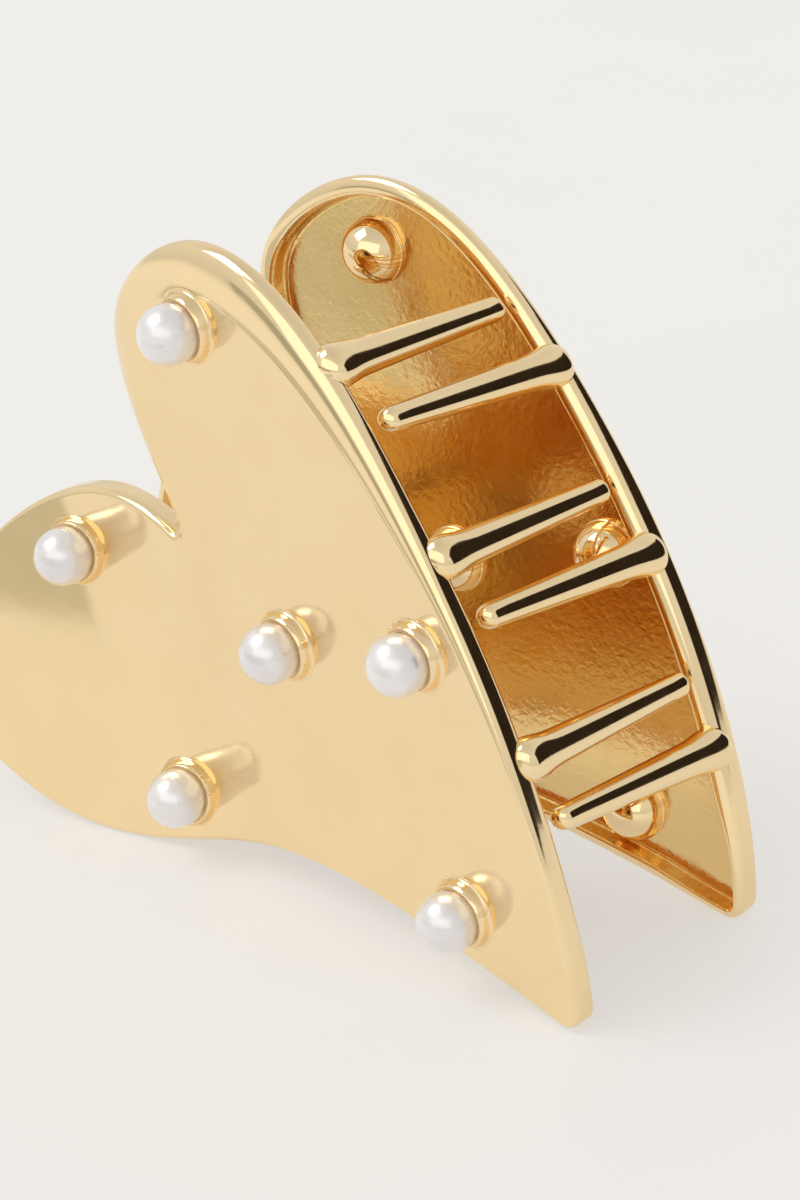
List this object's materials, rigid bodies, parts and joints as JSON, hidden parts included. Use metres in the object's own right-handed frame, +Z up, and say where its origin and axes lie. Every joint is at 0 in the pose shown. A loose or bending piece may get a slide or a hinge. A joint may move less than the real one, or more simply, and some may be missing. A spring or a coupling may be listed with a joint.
{
  "type": "hair claw clip",
  "caption": "Heart-shaped hair claw clip: two sprung jaws on a hinge pin, interleaved teeth, and riveted pearls on both faces.",
  "frame": {"origin": "on the table the clip stands on, under the centre of its bounding box", "axes": "+Z up, +X from the handle lobes towards the tips of the hearts, +Y from the front jaw towards the back jaw"},
  "size_m": [0.0826, 0.0402, 0.067],
  "materials": {
    "gold_shell": "electroplated bright gold over moulded plastic",
    "pearl": "pearlescent white lacquer",
    "gold_fitting": "polished gold plating",
    "steel": "drawn steel wire and rod"
  },
  "bodies": {
    "front": {"front_jaw": "gold_shell", "hinge_pin": "steel", "torsion_spring": "steel", "front_pearl_1": "pearl", "front_pearl_cup_1": "gold_fitting", "front_rivet_cap_1": "gold_fitting", "front_pearl_2": "pearl", "front_pearl_cup_2": "gold_fitting", "front_rivet_cap_2": "gold_fitting", "front_pearl_3": "pearl", "front_pearl_cup_3": "gold_fitting", "front_rivet_cap_3": "gold_fitting", "front_pearl_4": "pearl", "front_pearl_cup_4": "gold_fitting", "front_rivet_cap_4": "gold_fitting", "front_pearl_5": "pearl", "front_pearl_cup_5": "gold_fitting", "front_rivet_cap_5": "gold_fitting", "front_pearl_6": "pearl", "front_pearl_cup_6": "gold_fitting", "front_rivet_cap_6": "gold_fitting"},
    "back": {"back_jaw": "gold_shell", "back_pearl_1": "pearl", "back_pearl_cup_1": "gold_fitting", "back_rivet_cap_1": "gold_fitting", "back_pearl_2": "pearl", "back_pearl_cup_2": "gold_fitting", "back_rivet_cap_2": "gold_fitting", "back_pearl_3": "pearl", "back_pearl_cup_3": "gold_fitting", "back_rivet_cap_3": "gold_fitting", "back_pearl_4": "pearl", "back_pearl_cup_4": "gold_fitting", "back_rivet_cap_4": "gold_fitting", "back_pearl_5": "pearl", "back_pearl_cup_5": "gold_fitting", "back_rivet_cap_5": "gold_fitting", "back_pearl_6": "pearl", "back_pearl_cup_6": "gold_fitting", "back_rivet_cap_6": "gold_fitting"}
  },
  "joints": [
    {"name": "jaw_hinge", "type": "hinge", "parent": "front", "child": "back", "pos_m": [-0.00649, 0, 0.02071], "axis": [-0.5592, 0, 0.829], "range_deg": [0, 40], "stiffness_Nm_per_rad": 0.3, "springref_deg": -28.65, "deforming": ["torsion_spring"]}
  ]
}
